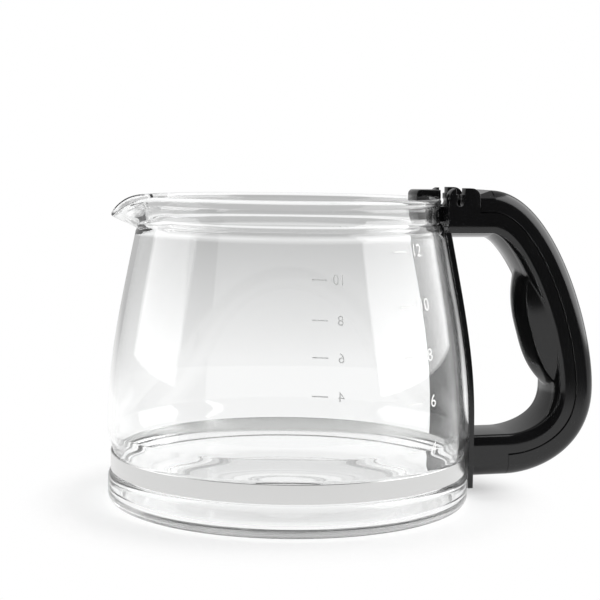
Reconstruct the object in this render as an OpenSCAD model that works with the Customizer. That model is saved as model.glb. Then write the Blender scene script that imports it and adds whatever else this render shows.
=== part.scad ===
// Coffee server carafe: a blown glass jug with a pouring lip, and a moulded handle that hooks over
// the rim and is drawn tight against the glass by a steel band.
// Frame: origin on the jug's axis at the table, +X towards the handle, +Z up. Millimetres.

/* [Glass jug] */
// Radius of the glass at its widest, the belly
belly_r = 76.4; // [73:0.1:82]
// Height of the widest point of the belly
belly_z = 31; // [29:0.5:36]
// Height to the top of the rim
jug_h = 128.1; // [122:0.1:140]
// Radius of the glass at the crease under the neck
neck_r = 64.5; // [63:0.1:68]
// Height of the neck, from the crease to the top of the rim
neck_h = 13.1; // [11:0.1:16]
// Slope of the wall just under the crease
neck_slope = 0.2; // [0.1:0.01:0.3]
// Step in from the crease to the outside of the rim bead
rim_step = 1.8; // [0.8:0.1:3]
// Thickness of the rim bead
bead_t = 2.9; // [2.4:0.1:3.4]
// Thickness of the glass wall
glass_t = 2.2; // [1.8:0.1:2.8]
// Step in from the belly to the outside of the foot
foot_step = 0.2; // [0:0.1:1.4]
// Radius of the foot's rounded edge
foot_edge = 4; // [2:0.1:6]
// Width of the flat ring that stands on the table
foot_ring = 6; // [3:0.1:9]
// Height of the jug's floor above the table
floor_z = 3.2; // [3:0.1:7]
// Rise of the floor at its middle
floor_crown = 0.8; // [0.4:0.1:1.5]
// Radius of the rounding inside, between the floor and the wall
floor_round = 3.6; // [2:0.1:12]
// Height of the hollow under the floor
kick_h = 1.5; // [0.5:0.1:2.5]
// Radius of the dimple at the middle of the hollow
dimple_r = 15; // [10:0.5:20]
// Reach of the spout's tip beyond the rim
spout_reach = 12.8; // [6:0.1:18]
// Drop of the spout's tip below the rim
spout_drop = 7; // [2:0.1:8]
// Half of the angle that the spout takes up on the rim
spout_angle = 26; // [18:1:35]
// Thickness of the glass at the spout's tip
tip_t = 1.8; // [1.4:0.1:2.2]

/* [Steel band] */
// Height of the band's lower edge
band_z = 13.8; // [12:0.1:15]
// Width of the band
band_h = 7.6; // [6:0.1:8.4]
// Thickness of the band
band_t = 0.5; // [0.3:0.1:0.8]
// Depth of the seat that the band lies in, below the belly
seat_depth = 2.1; // [1:0.1:2.4]
// Height of each ear where the nut passes through it
ear_h = 10; // [9.2:0.1:10.6]
// Gap between the two ears
ear_gap = 7; // [5.6:0.1:8]

/* [Clamp screw] */
// Diameter of the screw's shank
screw_d = 4; // [3:0.1:4.4]
// Diameter of the screw's head
head_d = 7.6; // [6.5:0.1:8.4]
// Height of the screw's head
head_h = 2.9; // [2:0.1:3.2]
// Diameter of the washer
washer_d = 9; // [8.6:0.1:9.4]
// Thickness of the washer
washer_t = 0.8; // [0.5:0.1:1]
// Diameter of the barrel nut
nut_d = 7; // [6:0.1:7.4]
// Length of the barrel nut
nut_l = 14; // [11:0.1:15]
// Distance from the strap's outer face to the nut's axis
nut_offset = 2.1; // [1.8:0.1:3]
// Thickness of the wall that the screw's head bears on
bearing_t = 5; // [3:0.1:6]

/* [Handle] */
// Width of the handle's arms
arm_w = 26; // [25:0.1:32]
// Depth of the arms and of the grip, at their edges
arm_h = 18.3; // [17.6:0.1:21]
// Rise of the inner face at its middle, on the upper arm
upper_crown = 2.2; // [0.5:0.1:3]
// Rise of the inner face at its middle, on the grip and on the lower arm
lower_crown = 0.5; // [0.3:0.1:1.5]
// Height of the handle's top above the rim
top_rise = 3.2; // [2.6:0.1:6]
// Drop of the lower arm's underside below the screw's axis
arm_drop = 10; // [9:0.1:10.6]
// Reach of the grip beyond the belly
grip_reach = 59.7; // [52:0.1:72]
// Height of the grip's outermost point above the lower arm's underside
bulge_z = 36.9; // [34:0.1:42]
// Roundness of the upper bend, along the arm
upper_bend_x = 29.1; // [24:0.1:34]
// Roundness of the upper bend, down the grip
upper_bend_z = 27.2; // [20:0.1:34]
// Roundness of the lower bend, down the grip
lower_bend_z = 26; // [22:0.1:30]
// Roundness of the lower bend, along the arm
lower_bend_x = 17.7; // [14:0.1:24]
// Depth of the rounding along the inner edges of the arms
arm_edge_h = 5.6; // [3:0.1:6]
// Width of the rounding along the inner edges of the arms
arm_edge = 1.8; // [0.5:0.1:2.4]
// Depth of the rounding along the inner edges of the grip
grip_edge_h = 4; // [2.5:0.1:4.6]
// Width of the rounding along the inner edges of the grip
grip_edge = 6.2; // [4:0.1:6.6]
// Wall of the handle's moulding
wall_t = 2.6; // [2:0.1:3]
// Thickness of the strap that lies on the glass
strap_t = 2.2; // [1.8:0.1:3]
// Width of the strap
strap_w = 44; // [34:0.5:50]
// Height of the strap's lower end
strap_z = 5; // [3:0.1:7]
// Width of the shallow channel along the strap's inner face
hollow_w = 18; // [12:0.5:24]
// Depth of the shallow channel along the strap's inner face
hollow_d = 0.8; // [0.4:0.1:1]

/* [Lid hinge] */
// Distance from the front of the cheeks to the hinge's axis
hinge_offset = 5.1; // [4.4:0.1:6]
// Drop of the hinge's axis below the top of the cheeks
hinge_drop = 6.1; // [5.6:0.1:7]
// Diameter of the seat for the lid's pins
pin_d = 3.2; // [2.6:0.1:3.6]
// Thickness of each cheek
cheek_t = 4.5; // [3.5:0.1:5]
// Rise of the cheeks above the top of the handle
cheek_rise = 0.9; // [0.4:0.1:2]
// Length of the cheeks along the handle
cheek_l = 14.2; // [13.2:0.1:17]

/* [Rim hook] */
// Width of the hook
hook_w = 11.6; // [9:0.1:13]
// Depth that the hook's leg reaches down inside the neck
hook_depth = 11.7; // [8:0.1:12.5]
// Thickness of the hook's leg inside the neck
hook_t = 4.5; // [3.5:0.1:5.5]
// Reach of the hook's tongue beyond its leg
tongue_over = 1.2; // [0.6:0.1:2]
// Radius of the tongue's upper edge
tongue_round = 2; // [0.8:0.1:2.6]
// Thickness of the hook's post outside the rim
post_t = 1.3; // [1.1:0.1:2.2]

/* [Rear cover] */
// Depth of the cover, from the handle's outer face to the seam
cover_h = 9.3; // [8.4:0.1:9.8]
// Radius of the cover's outer edges
cover_edge = 5.5; // [3:0.1:6]
// Wall of the cover
cover_t = 3; // [2.8:0.1:3.4]
// Length of the flat thumb rest at the cover's upper end
rest_l = 6.4; // [5:0.1:9]
// Drop of the thumb rest towards the hinge
rest_drop = 1.7; // [0.5:0.1:2.4]
// Width of the sloping edges of the thumb rest
rest_edge = 4.5; // [2:0.1:6]
// Depth that the cover's lips reach into the handle
lip_h = 2.5; // [1.5:0.1:3]

/* [Finger grip] */
// Height of the swelling on the grip's inner face
swell_h = 7.7; // [4:0.1:9]
// Rise of the swelling's rounded middle line above that height
swell_rise = 2.2; // [1:0.1:3]
// Distance along the handle's outer line to the middle of the swelling
swell_mid = 81; // [76:0.5:86]
// Half of the swelling's length along the handle's outer line
swell_half = 29.3; // [24:0.1:32]
// Width of the swelling between the two edges of its top
swell_w = 18; // [14:0.1:19]
// Steepness of the swelling's sides
swell_steep = 2.6; // [1.8:0.1:3.2]

/* [Clearances] */
// Gap between the glass and what lies on it
glass_gap = 0.3; // [0.2:0.05:0.6]
// Gap between moulded pieces that fit together
fit_gap = 0.15; // [0.1:0.05:0.25]
// Play of the screw, the washer and the nut in their holes
hole_play = 0.2; // [0.1:0.05:0.4]

/* [Hidden] */
$fn = 96;
eps = 0.01;
glass_colour = [0.86, 0.91, 0.92, 0.4];
steel_colour = [0.78, 0.78, 0.77];
zinc_colour = [0.66, 0.67, 0.68];
plastic_colour = [0.07, 0.07, 0.075];

// Places that follow from the sizes above
crease_z = jug_h - neck_h;
rim_r = neck_r - rim_step;
foot_r = belly_r - foot_step;
seat_r = belly_r - seat_depth;
seat_gap = 0.2;
seat_lip = 0.6;
seat_z0 = band_z - seat_lip;
seat_z1 = band_z + band_h + seat_lip;
band_r = seat_r + seat_gap;
clamp_z = band_z + band_h / 2;
strap_r = belly_r + glass_gap;
strap_out_x = strap_r + strap_t;
nut_x = strap_out_x + nut_offset;
pocket_x1 = nut_x + ear_h / 2 + 3 * hole_play;
bearing_x = pocket_x1 + bearing_t;
lower_end_x = bearing_x + washer_t + head_h + hole_play;
top_z = jug_h + top_rise;
arm_bot_z = clamp_z - arm_drop;
arm_under_z = top_z - arm_h - upper_crown;
block_x0 = neck_r + neck_slope * (crease_z - arm_under_z) + glass_gap + 0.1;
hinge_x = block_x0 + hinge_offset;
cover_x0 = block_x0 + cheek_l;
cheek_top_z = top_z + cheek_rise;
hinge_z = cheek_top_z - hinge_drop;
channel_z = hinge_z - pin_d / 2 - 0.3;
half_w = arm_w / 2;
seam_gap = fit_gap;

// Curves

// A point of a cubic curve
function bezier(p, t) =
    let (u = 1 - t) u * u * u * p[0] + 3 * u * u * t * p[1] + 3 * u * t * t * p[2] + t * t * t * p[3];

// The direction of a cubic curve
function bezier_run(p, t) =
    let (u = 1 - t) u * u * (p[1] - p[0]) + 2 * u * t * (p[2] - p[1]) + t * t * (p[3] - p[2]);

function unit(v) = v / norm(v);

// A value that eases from 0 to 1
function ease(t) = let (c = min(max(t, 0), 1)) c * c * (3 - 2 * c);

// A list the other way round
function backwards(list) = [for (i = [len(list) - 1 : -1 : 0]) list[i]];

// Points of an ellipse about c with half axes a, between two angles
function oval(c, a, from, to, n) =
    [for (i = [0 : n]) let (w = from + (to - from) * i / n) c + [a[0] * cos(w), a[1] * sin(w)]];

// A closed skin through rings of points, with caps given as triangles of the first ring
module loft(rings, caps) {
    n = len(rings[0]);
    last = (len(rings) - 1) * n;
    sides = [for (i = [0 : len(rings) - 2], j = [0 : n - 1])
        let (a = i * n + j, b = i * n + (j + 1) % n) each [[a, b, b + n], [a, b + n, a + n]]];
    near = [for (t = caps) [t[0], t[2], t[1]]];
    far = [for (t = caps) [t[0] + last, t[1] + last, t[2] + last]];
    polyhedron([for (r = rings) each r], concat(sides, near, far));
}

// Triangles that close a convex ring of n points
function fan_cap(n) = [for (j = [1 : n - 2]) [0, j, j + 1]];

// Triangles that close a ring made of one chain and a second chain run backwards
function strip_cap(n) =
    [for (i = [0 : n / 2 - 2]) each [[i, i + 1, n - 2 - i], [i, n - 2 - i, n - 1 - i]]];

// Glass jug

wall_steps = 16;
// The wall's outer line, from the belly up to the crease
wall_curve = [
    [belly_r, belly_z], [belly_r, belly_z + 0.34 * (crease_z - belly_z)],
    [neck_r + neck_slope * 0.4 * (crease_z - belly_z), crease_z - 0.4 * (crease_z - belly_z)],
    [neck_r, crease_z]];
function wall_line(grow) =
    [for (i = [0 : wall_steps]) bezier(wall_curve, i / wall_steps) + [grow, 0]];

// The swing of the wall from the top of the band's seat, at a radius, out to the belly
seat_steps = 10;
function seat_rise(r) =
    [for (i = [0 : seat_steps - 1]) let (t = i / seat_steps)
        [r + seat_depth * ease(t), seat_z1 + (belly_z - seat_z1) * t]];

// The outer line, from the standing ring up to the belly, with the band's seat
foot_ring_r = foot_r - foot_edge;
seat_lead = 3;
foot_line = concat(
    oval([foot_ring_r, foot_edge], [foot_edge, foot_edge], -90, 0, 8),
    oval([seat_r, seat_z0 - seat_lead], [foot_r - seat_r, seat_lead], 0, 85, 6),
    [[seat_r, seat_z0]],
    seat_rise(seat_r));

// The inner line, from the middle of the floor up to the belly
inner_seat_r = seat_r - glass_t;
floor_r = inner_seat_r - floor_round;
inner_line = concat(
    [[0, floor_z + floor_crown], [0.7 * floor_r, floor_z + 0.5 * floor_crown]],
    oval([floor_r, floor_z + floor_round], [floor_round, floor_round], -90, 0, 8),
    seat_rise(inner_seat_r));

// The hollow under the floor, from the standing ring in to the dimple
kick_r = foot_ring_r - foot_ring;
under_line = [
    [kick_r, 0], [kick_r - 2 * kick_h, kick_h * 0.8], [dimple_r, kick_h],
    [dimple_r * 0.8, kick_h + 0.6], [0, kick_h + 1]];

// The neck's middle line at the plain rim and at the spout's tip, from inside the wall up to the bead
root = [neck_r - glass_t / 2, crease_z];
bead_r = rim_r - bead_t / 2;
bead_z = jug_h - bead_t / 2;
sunk = 1.5;
collar_r = bead_r - (bead_t - glass_t) / 2;
plain_neck = [
    root + [neck_slope * sunk, -sunk], root + [0, -0.15], [(root[0] + collar_r) / 2, crease_z + 1.6],
    [collar_r, crease_z + 3.6], [collar_r, bead_z - 2.6], [collar_r + 0.1, bead_z - 1.2],
    [bead_r, bead_z]];
tip = [rim_r + spout_reach - tip_t / 2, jug_h - spout_drop - tip_t / 2];
neck_n = len(plain_neck);
spout_neck = concat([plain_neck[0], plain_neck[1]],
    [for (i = [2 : neck_n - 1]) let (w = (i - 1) / (neck_n - 2)) root + w * (tip - root)]);
plain_t = [glass_t - 0.3, glass_t - 0.3, glass_t - 0.1, glass_t, glass_t, (glass_t + bead_t) / 2, bead_t];

// How much of the spout there is at an angle from its middle
function spout_share(a) = abs(a) >= spout_angle ? 0 : pow(cos(90 * a / spout_angle), 2);

// The neck's middle line at an angle from the spout, where the drop gathers near the tip
function neck_line(a) =
    let (s = spout_share(a), d = pow(s, 2.4))
    [for (i = [0 : neck_n - 1])
        [plain_neck[i][0] + s * (spout_neck[i][0] - plain_neck[i][0]),
         plain_neck[i][1] + d * (spout_neck[i][1] - plain_neck[i][1])]];

// The neck's thickness at each point of its middle line
function neck_t(a, i) = i < 2 ? plain_t[i] : plain_t[i] + spout_share(a) * (tip_t - plain_t[i]);

// The wall's own direction out of the glass at a point of a middle line
function line_normal(m, i) =
    let (run = unit(i < 2 ? m[1] - m[0] : m[min(i + 1, neck_n - 1)] - m[i - 1])) [run[1], -run[0]];

// The closed section of the neck at an angle from the spout: up outside, over the bead, down inside
bead_steps = 5;
function neck_section(a) =
    let (m = neck_line(a), end = neck_n - 1, tilt = line_normal(m, end),
         turn = atan2(tilt[1], tilt[0]))
    concat(
        [for (i = [0 : end]) m[i] + line_normal(m, i) * neck_t(a, i) / 2],
        [for (k = [1 : bead_steps]) let (w = turn + 180 * k / (bead_steps + 1))
            m[end] + neck_t(a, end) / 2 * [cos(w), sin(w)]],
        [for (i = [end : -1 : 0]) m[i] - line_normal(m, i) * neck_t(a, i) / 2]);

// Angles round the rim, closer together across the spout
fine_step = 2.5;
spout_zone = ceil((spout_angle + 2) / fine_step) * fine_step;
rest_steps = 60;
rim_angles = concat(
    [for (a = [-spout_zone : fine_step : spout_zone]) a],
    [for (k = [1 : rest_steps - 1]) spout_zone + (360 - 2 * spout_zone) * k / rest_steps]);

module neck() {
    rings = [for (a = rim_angles) [for (p = neck_section(a > 180 ? a - 360 : a))
        [-p[0] * cos(a), -p[0] * sin(a), p[1]]]];
    n = len(rings[0]);
    m = len(rings);
    faces = [for (i = [0 : m - 1], j = [0 : n - 1])
        let (here = i * n, next = (i + 1) % m * n, up = (j + 1) % n)
        each [[here + j, here + up, next + up], [here + j, next + up, next + j]]];
    polyhedron([for (r = rings) each r], faces);
}

module glass_jug() {
    inner = concat(inner_line, wall_line(-glass_t));
    outer = concat(backwards(under_line), foot_line, wall_line(0));
    color(glass_colour)
    union() {
        rotate_extrude() polygon(concat(outer, backwards(inner)));
        neck();
    }
}

// Steel band

// The flat outline of an ear, seen from the side, with its hole for the nut
module ear_outline() {
    difference() {
        union() {
            translate([band_r, -band_h / 2]) square([nut_x - band_r, band_h]);
            translate([strap_r + 0.6, -ear_h / 2]) square([nut_x - strap_r - 0.6, ear_h]);
            translate([nut_x, 0]) circle(d = ear_h);
        }
        translate([nut_x, 0]) circle(d = nut_d + hole_play);
    }
}

module waist_band() {
    color(steel_colour)
    union() {
        difference() {
            rotate_extrude() translate([band_r, band_z]) square([band_t, band_h]);
            translate([0, -ear_gap / 2 - band_t / 2, band_z - 1])
                cube([2 * band_r, ear_gap + band_t, band_h + 2]);
        }
        for (side = [-1, 1])
            translate([0, side * (ear_gap + band_t) / 2, clamp_z])
                rotate([90, 0, 0])
                    linear_extrude(band_t, center = true) ear_outline();
    }
}

// Clamp screw, washer and barrel nut

// A round bar along +X from a point on the screw's axis
module along_x(x, d, l) {
    translate([x, 0, clamp_z]) rotate([0, 90, 0]) cylinder(d = d, h = l);
}

module clamp_nut() {
    color(zinc_colour)
    difference() {
        translate([nut_x, 0, clamp_z]) rotate([90, 0, 0]) cylinder(d = nut_d, h = nut_l, center = true);
        along_x(nut_x - nut_d, screw_d + hole_play / 2, 2 * nut_d);
    }
}

screw_tip_x = nut_x - nut_d / 2 - 0.4;
head_x = bearing_x + washer_t;
drive_w = 1.2;

module clamp_screw() {
    color(zinc_colour)
    difference() {
        union() {
            along_x(screw_tip_x, screw_d, head_x - screw_tip_x + eps);
            along_x(head_x, head_d, head_h);
        }
        for (turn = [0, 90])
            translate([head_x + head_h * 0.45, 0, clamp_z]) rotate([turn, 0, 0])
                translate([0, -drive_w / 2, -head_d * 0.32]) cube([head_h, drive_w, head_d * 0.64]);
    }
}

module clamp_washer() {
    color(steel_colour)
    difference() {
        along_x(bearing_x, washer_d, washer_t);
        along_x(bearing_x - 1, screw_d + 1.5 * hole_play, washer_t + 2);
    }
}

// Handle: the outer line

crown_x = cover_x0 + rest_l;
grip_x = belly_r + grip_reach;
upper_curve = [
    [crown_x, top_z], [crown_x + upper_bend_x, top_z],
    [grip_x, arm_bot_z + bulge_z + upper_bend_z], [grip_x, arm_bot_z + bulge_z]];
lower_curve = [
    [grip_x, arm_bot_z + bulge_z], [grip_x, arm_bot_z + bulge_z - lower_bend_z],
    [lower_end_x + lower_bend_x, arm_bot_z], [lower_end_x, arm_bot_z]];

// Stations along the outer line from the thumb rest to the lower arm: a point and the way it runs
function station(curve, t) = [bezier(curve, t), unit(bezier_run(curve, t))];
upper_steps = 22;
lower_steps = 14;
stations = concat(
    [[[cover_x0, top_z], [1, 0]]],
    [for (i = [0 : upper_steps]) station(upper_curve, i / upper_steps)],
    [for (i = [1 : lower_steps]) station(lower_curve, i / lower_steps)]);
last_station = len(stations) - 1;

// Distance along the outer line to each station
line_run = [for (i = 0, d = 0; i <= last_station;
    d = d + (i < last_station ? norm(stations[i + 1][0] - stations[i][0]) : 0), i = i + 1) d];

// A point of the section at a station: u is the depth from the outer line and y goes across the handle
function section_point(s, u, y) =
    let (n = [s[1][1], -s[1][0]]) [s[0][0] + n[0] * u, y, s[0][1] + n[1] * u];

// Width and depth of the inner edges' rounding, and rise of the inner face, along the outer line
line_end = line_run[last_station];
function in_grip(d) = ease((d - 12) / 40) * ease((line_end - 8 - d) / 50);
function edge_w(d) = arm_edge + (grip_edge - arm_edge) * in_grip(d);
function edge_h(d) = arm_edge_h + (grip_edge_h - arm_edge_h) * in_grip(d);
function crown(d) = upper_crown + (lower_crown - upper_crown) * ease((d - 10) / 40);

// Height of the swelling at a distance along the outer line, and its ridged top across the handle
function swell(d) = swell_h * (1 - pow(abs(d - swell_mid) / swell_half, 2.6));
function swell_top(y) = swell_rise - 0.42 * (norm([y, 1.5]) - 1.5);

// Depth of the inner face at a place across the handle: its crown, its rounded edges and the swelling
function face_depth(d, y) =
    let (e = edge_w(d), h = edge_h(d), flat = half_w - e, over = max(abs(y) - flat, 0),
         face = over > 0 ? arm_h - h + h * sqrt(max(1 - pow(over / e, 2), 0))
                         : arm_h + crown(d) * (1 - pow(y / flat, 2)),
         side = max(abs(y) - swell_w / 2, 0))
    max(face, arm_h + swell(d) + swell_top(min(abs(y), swell_w / 2)) - swell_steep * side);

// Half of the inner face's section, from its open edge round to the middle
edge_steps = 8;
flat_steps = 4;
function half_face(d, u_open) =
    let (e = edge_w(d), flat = half_w - e,
         places = concat([for (k = [0 : edge_steps]) flat + e * cos(90 * k / edge_steps)],
                         [for (k = [1 : flat_steps]) flat * (1 - k / (flat_steps + 0.5))]))
    concat([[u_open, half_w]], [for (y = places) [face_depth(d, y), y]]);

// A whole chain across the handle from one half of it, from +y to -y
function mirrored(h) = concat(h, [for (i = [len(h) - 1 : -1 : 0]) [h[i][0], -h[i][1]]]);

// The cover's section, from its open edge round a corner to its middle
corner_steps = 5;
function half_cover(w, floor_u, r) =
    concat([[cover_h, w]],
        [for (k = [0 : corner_steps]) let (a = 90 * k / corner_steps)
            [floor_u + r * (1 - sin(a)), w - r * (1 - cos(a))]]);

// A section at a station as points in space
function ring(s, list) = [for (p = list) section_point(s, p[0], p[1])];

// Handle body

// The channel of the arched part, open to the outside where the cover goes on
function body_ring(i) =
    let (d = line_run[i], narrow = 1 - wall_t / half_w,
         outer = mirrored(half_face(d, cover_h + seam_gap)),
         inner = [for (k = [0 : len(outer) - 1]) let (p = outer[k], open = k == 0 || k == len(outer) - 1)
             [open ? p[0] : p[0] - wall_t, p[1] * narrow]])
    ring(stations[i], concat(outer, backwards(inner)));

module arch() {
    rings = [for (i = [0 : last_station]) body_ring(i)];
    loft(rings, strip_cap(len(rings[0])));
}

// A section of the handle, given as depths and widths, drawn out along X from the outer line at a height
module bar(x0, x1, z, way, section) {
    translate([x0, 0, z]) rotate([90, 0, 90])
        linear_extrude(x1 - x0) polygon([for (p = section) [p[1], way * p[0]]]);
}

// The solid ends of the handle, which carry the hinge at the top and the clamp at the bottom
module upper_block() {
    bar(block_x0, cover_x0, top_z, -1, mirrored(half_face(0, top_z - channel_z)));
}
module lower_block() {
    outer = mirrored(half_cover(half_w, 0, cover_edge));
    under = [for (k = [len(outer) - 2 : -1 : 1]) outer[k]];
    section = concat(mirrored(half_face(line_end, cover_h)), under);
    bar(strap_r + strap_t * 0.15, lower_end_x, arm_bot_z, 1, section);
}

// The strap that lies on the glass, from under the neck down past the band
module strap() {
    inner = concat([[strap_r, strap_z], [strap_r, belly_z]], wall_line(glass_gap));
    outer = [for (p = inner) p + [strap_t, 0]];
    floor = [for (p = inner) p + [hollow_d, 0]];
    top = crease_z - 1;
    difference() {
        intersection() {
            rotate_extrude() polygon(concat(outer, backwards(inner)));
            translate([0, -strap_w / 2, strap_z]) cube([2 * strap_r, strap_w, top - strap_z]);
        }
        intersection() {
            rotate_extrude() polygon(concat(floor, backwards([for (p = inner) p - [1, 0]])));
            translate([0, -hollow_w / 2, belly_z])
                cube([2 * strap_r, hollow_w, arm_under_z - 4 - belly_z]);
        }
    }
}

// A hinge cheek seen from the side, with the open slot that the lid's pin snaps into
cheek_round = 4;
slot_neck = 0.7 * pin_d;
slot_mouth = 1.22 * pin_d;
mouth_h = 2.6;
module cheek_outline() {
    straight_h = cheek_top_z - cheek_round - channel_z;
    difference() {
        union() {
            translate([block_x0, channel_z - 1]) square([cheek_l, straight_h + 1]);
            translate([block_x0 + cheek_round, channel_z])
                square([cheek_l - 2 * cheek_round, straight_h + cheek_round]);
            for (x = [block_x0 + cheek_round, cover_x0 - cheek_round])
                translate([x, cheek_top_z - cheek_round]) circle(cheek_round);
        }
        translate([hinge_x, hinge_z]) circle(d = pin_d);
        translate([hinge_x - slot_neck / 2, hinge_z]) square([slot_neck, hinge_drop]);
        translate([hinge_x - slot_mouth / 2, cheek_top_z - mouth_h]) square([slot_mouth, mouth_h + 1]);
    }
}

// An outline in X and Z drawn out across the handle
module across(y0, y1) {
    translate([0, y1, 0]) rotate([90, 0, 0]) linear_extrude(y1 - y0) children();
}

// The hook: a post outside the neck, a tongue over the rim and a leg with a rounded end inside the neck
module hook() {
    under_z = jug_h + glass_gap;
    leg_x1 = sqrt(pow(rim_r - bead_t, 2) - pow(hook_w / 2, 2)) - glass_gap;
    leg_x0 = leg_x1 - hook_t;
    leg_z = jug_h - hook_depth;
    leg_end = [0.55 * hook_t, 0.45 * hook_depth];
    leg_edge = 0.25 * hook_t;
    tongue_x0 = leg_x0 - tongue_over;
    tongue_z = jug_h - 2;
    post_x0 = rim_r + glass_gap + 0.1;
    post_x1 = post_x0 + post_t;
    post_z = crease_z + 2.8;
    root_x = block_x0 + 3;
    across(-hook_w / 2, hook_w / 2)
        polygon(concat(
            oval([leg_x0 + leg_end[0], leg_z + leg_end[1]], leg_end, 180, 270, 8),
            oval([leg_x1 - leg_edge, leg_z + leg_edge], [leg_edge, leg_edge], 270, 360, 4),
            [[leg_x1, under_z], [post_x0, under_z], [post_x0, post_z], [root_x, post_z],
             [root_x, channel_z], [post_x1, channel_z], [post_x1, top_z]],
            oval([tongue_x0 + tongue_round, top_z - tongue_round], [tongue_round, tongue_round], 90, 180, 6),
            [[tongue_x0, tongue_z + 0.4], [tongue_x0 + 0.4, tongue_z], [leg_x0, tongue_z]]));
}

// The pocket for the ears and the nut, the screw's hole and the seat of its head
module clamp_cuts() {
    pocket_w = nut_l + 4 * hole_play;
    pocket_h = ear_h + 3 * hole_play;
    translate([strap_r - strap_t, -pocket_w / 2, clamp_z - pocket_h / 2])
        cube([pocket_x1 - strap_r + strap_t, pocket_w, pocket_h]);
    along_x(pocket_x1 - 1, screw_d + 2 * hole_play, bearing_t + 2);
    along_x(bearing_x, washer_d + 3 * hole_play, lower_end_x - bearing_x + 2);
}

module handle_body() {
    color(plastic_colour)
    difference() {
        union() {
            arch();
            upper_block();
            for (y = [-half_w, half_w - cheek_t]) across(y, y + cheek_t) cheek_outline();
            hook();
            strap();
            lower_block();
        }
        clamp_cuts();
    }
}

// Rear cover

// The cover's section at a station: a rounded channel, open towards the handle body
function cover_ring(s) =
    ring(s, concat(
        mirrored(half_cover(half_w - cover_t, cover_t, max(cover_edge - cover_t, 0.6))),
        backwards(mirrored(half_cover(half_w, 0, cover_edge)))));

// One lip, which reaches past the seam into the body's channel, with stations between the shell's own
lip_t = 1.5;
lip_y1 = half_w - wall_t - fit_gap;
lip_stations = concat(
    [for (i = [1 : upper_steps - 1]) station(upper_curve, (i + 0.5) / upper_steps)],
    [for (i = [0 : lower_steps - 2]) station(lower_curve, (i + 0.5) / lower_steps)]);
function lip_ring(s, side) =
    let (u0 = cover_h - 2, u1 = cover_h + lip_h, y0 = side * (lip_y1 - lip_t), y1 = side * lip_y1,
         box = [[u0, y1], [u1, y1], [u1, y0], [u0, y0]])
    ring(s, side > 0 ? box : backwards(box));

// The thumb rest at the cover's upper end: a slope with slanted edges and a hollow behind it
module thumb_rest() {
    x0 = cover_x0 + seam_gap;
    x1 = crown_x + 1.2;
    seam_z = top_z - cover_h;
    side_z = top_z - 0.73 * rest_edge;
    difference() {
        intersection() {
            across(-half_w, half_w)
                polygon([[x0, seam_z], [x1, seam_z], [x1, top_z], [crown_x, top_z],
                         [x0, top_z - rest_drop]]);
            translate([x0 - 1, 0, 0]) rotate([90, 0, 90]) linear_extrude(x1 - x0 + 2)
                polygon([[-half_w, seam_z], [half_w, seam_z], [half_w, side_z],
                         [half_w - rest_edge, top_z], [rest_edge - half_w, top_z], [-half_w, side_z]]);
        }
        across(-half_w + cover_t, half_w - cover_t)
            polygon([[x0 + cover_t, seam_z - 1], [x1 + 1, seam_z - 1], [x1 + 1, top_z - cover_t],
                     [crown_x, top_z - cover_t], [x0 + cover_t, top_z - rest_drop - cover_t]]);
    }
}

module back_cover() {
    low = [stations[last_station][0] + [seam_gap, 0], stations[last_station][1]];
    shell = [for (i = [1 : last_station - 1]) cover_ring(stations[i])];
    end_inset = 0.6;
    color(plastic_colour)
    union() {
        loft(concat(shell, [cover_ring(low)]), strip_cap(len(shell[0])));
        thumb_rest();
        translate([low[0][0], -half_w + cover_edge - 1, arm_bot_z + end_inset])
            cube([2, arm_w - 2 * cover_edge + 2, cover_h - end_inset]);
        for (side = [-1, 1])
            loft([for (s = lip_stations) lip_ring(s, side)], fan_cap(4));
    }
}

glass_jug();
waist_band();
clamp_nut();
clamp_screw();
clamp_washer();
handle_body();
back_cover();
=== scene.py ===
import math

import bmesh
import bpy
import numpy as np
from mathutils import Matrix, Vector


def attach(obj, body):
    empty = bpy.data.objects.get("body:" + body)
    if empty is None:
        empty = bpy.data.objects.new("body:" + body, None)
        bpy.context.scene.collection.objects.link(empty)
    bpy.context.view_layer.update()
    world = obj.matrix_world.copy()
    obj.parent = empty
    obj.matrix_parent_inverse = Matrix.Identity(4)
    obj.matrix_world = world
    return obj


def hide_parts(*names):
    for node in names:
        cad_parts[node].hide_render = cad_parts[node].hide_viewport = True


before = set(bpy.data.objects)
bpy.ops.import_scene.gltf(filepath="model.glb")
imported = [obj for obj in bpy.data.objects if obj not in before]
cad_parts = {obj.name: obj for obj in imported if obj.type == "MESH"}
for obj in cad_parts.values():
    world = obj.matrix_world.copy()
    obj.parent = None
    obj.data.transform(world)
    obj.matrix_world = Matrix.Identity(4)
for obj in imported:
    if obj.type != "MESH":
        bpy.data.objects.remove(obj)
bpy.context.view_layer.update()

# Glass jug: a blown vessel of clear heat-proof glass with a thin floor, a shallow seat round the
# belly for the steel band, and a rim bead that is drawn out into a pouring lip.
# Sizes are in millimetres, as (radius, height), and MM brings them to metres.
MM = 0.001
BELLY_R, BELLY_Z = 76.4, 31.0
CREASE_R, CREASE_Z = 64.5, 115.0
WALL_LOW_PULL_Z, WALL_HIGH_PULL = 59.56, (71.22, 81.4)
WALL_STOP_OUT, WALL_STOP_IN = 0.3, 1.4
GLASS_T = 2.2
FOOT_R, FOOT_EDGE = 76.2, 4.0
SEAT_R, SEAT_Z0, SEAT_Z1, SEAT_LEAD = 74.3, 13.2, 22.0, 3.0
FLOOR_Z, FLOOR_CROWN, FLOOR_ROUND = 3.2, 0.8, 3.6
PLAIN_NECK = [(63.7, 113.5), (63.4, 114.85), (62.15, 116.6), (60.9, 118.6), (60.9, 124.05),
              (61.0, 125.45), (61.25, 126.65)]
PLAIN_NECK_T = [1.9, 1.9, 2.1, 2.2, 2.2, 2.55, 2.9]
SPOUT_ROOT, SPOUT_TIP, SPOUT_T = (63.4, 115.0), (74.6, 120.2), 1.8
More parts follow.
